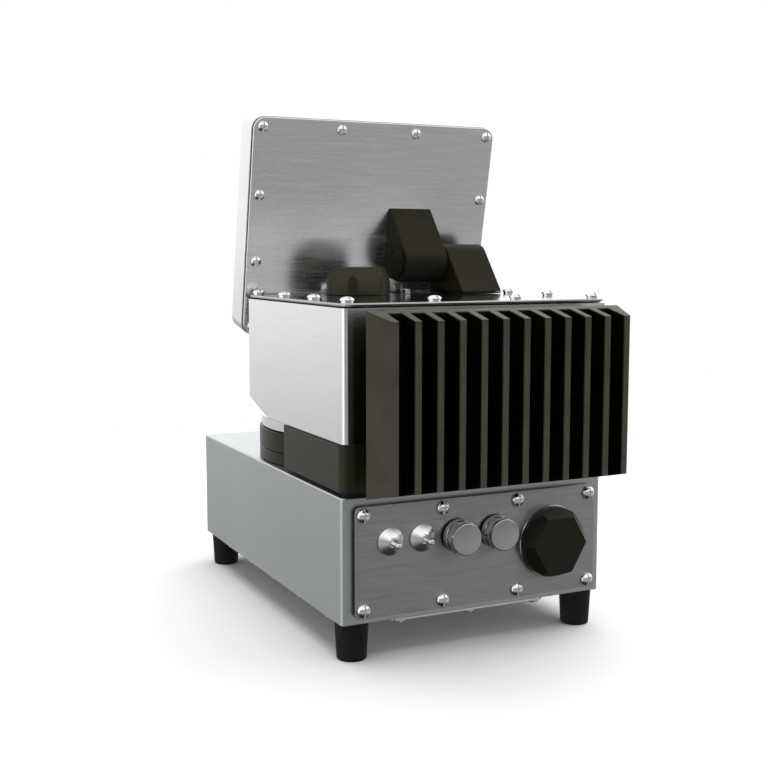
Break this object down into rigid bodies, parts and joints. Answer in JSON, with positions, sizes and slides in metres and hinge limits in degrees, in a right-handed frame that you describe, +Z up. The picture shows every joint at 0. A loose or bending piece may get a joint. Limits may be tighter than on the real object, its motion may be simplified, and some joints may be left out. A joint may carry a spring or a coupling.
{
  "type": "near-infrared analyzer",
  "caption": "Bench near-infrared analyzer: steel base, turning sample dish, measuring head with a finned heat sink, and a display that tilts on the head's lid",
  "frame": {"origin": "on the surface the feet stand on, in the middle of the object's box", "axes": "X is the width, +Y points to the rear with the connectors and the heat sink, +Z is up"},
  "size_m": [0.204, 0.3414, 0.3696],
  "materials": {
    "housing_steel": "fine bead-blasted stainless steel",
    "brushed_steel": "brushed stainless steel",
    "polished_steel": "polished stainless steel",
    "black_anodised": "warm black anodised aluminium",
    "black_cap": "black anodised aluminium, satin",
    "black_rubber": "black rubber",
    "pale_aluminium": "pale satin aluminium",
    "circuit_board": "green circuit board",
    "clear_glass": "clear optical glass",
    "dark_glass": "dark cover glass",
    "brass": "turned brass"
  },
  "bodies": {
    "root": {"base_housing": "housing_steel", "bottom_cover": "brushed_steel", "bottom_cover_seal": "black_rubber", "bracket_seal": "black_rubber", "drive_motor": "black_anodised", "earth_screw": "polished_steel", "foot_front_left": "black_rubber", "foot_front_right": "black_rubber", "foot_rear_left": "black_rubber", "foot_rear_right": "black_rubber", "head_housing": "brushed_steel", "heat_sink": "black_anodised", "heat_sink_spacer": "black_anodised", "hex_plug_1": "polished_steel", "hex_plug_2": "polished_steel", "hinge_bracket": "black_anodised", "hinge_pin": "black_anodised", "interface_board": "circuit_board", "lamp": "pale_aluminium", "lamp_cap": "black_cap", "lamp_holder": "brass", "lid": "polished_steel", "lid_seal": "black_rubber", "main_board": "circuit_board", "measuring_window": "clear_glass", "plug_seal_1": "black_rubber", "plug_seal_2": "black_rubber", "power_supply": "pale_aluminium", "purge_fitting_1": "polished_steel", "purge_fitting_2": "polished_steel", "rear_panel": "brushed_steel", "rear_panel_screw_1": "polished_steel", "rear_panel_screw_2": "polished_steel", "rear_panel_screw_3": "polished_steel", "rear_panel_screw_4": "polished_steel", "rear_panel_screw_5": "polished_steel", "rear_panel_screw_6": "polished_steel", "rear_panel_screw_7": "polished_steel", "rear_panel_screw_8": "polished_steel", "rear_panel_seal": "black_rubber", "socket_cap": "black_cap", "socket_cap_ring": "pale_aluminium", "spectrometer_module": "pale_aluminium", "spindle_bearing": "polished_steel", "support_block": "black_anodised", "support_seal": "black_rubber", "turntable_base_ring": "black_anodised", "window_retainer": "pale_aluminium", "wiring_loom": "black_rubber"},
    "turntable": {"turntable": "black_anodised", "sample_dish": "polished_steel", "turntable_spindle": "polished_steel"},
    "display": {"display_arm": "black_anodised", "display_back_plate": "brushed_steel", "display_seal": "black_rubber", "display_housing": "pale_aluminium", "display_glass": "dark_glass", "display_module": "circuit_board"}
  },
  "joints": [
    {"name": "turntable_spin", "type": "hinge", "parent": "root", "child": "turntable", "pos_m": [0, -0.02365, 0.126], "axis": [0, 0, 1], "continuous": true},
    {"name": "display_tilt", "type": "hinge", "parent": "root", "child": "display", "pos_m": [0, -0.02665, 0.257], "axis": [1, 0, 0], "range_deg": [-50, 2]}
  ]
}
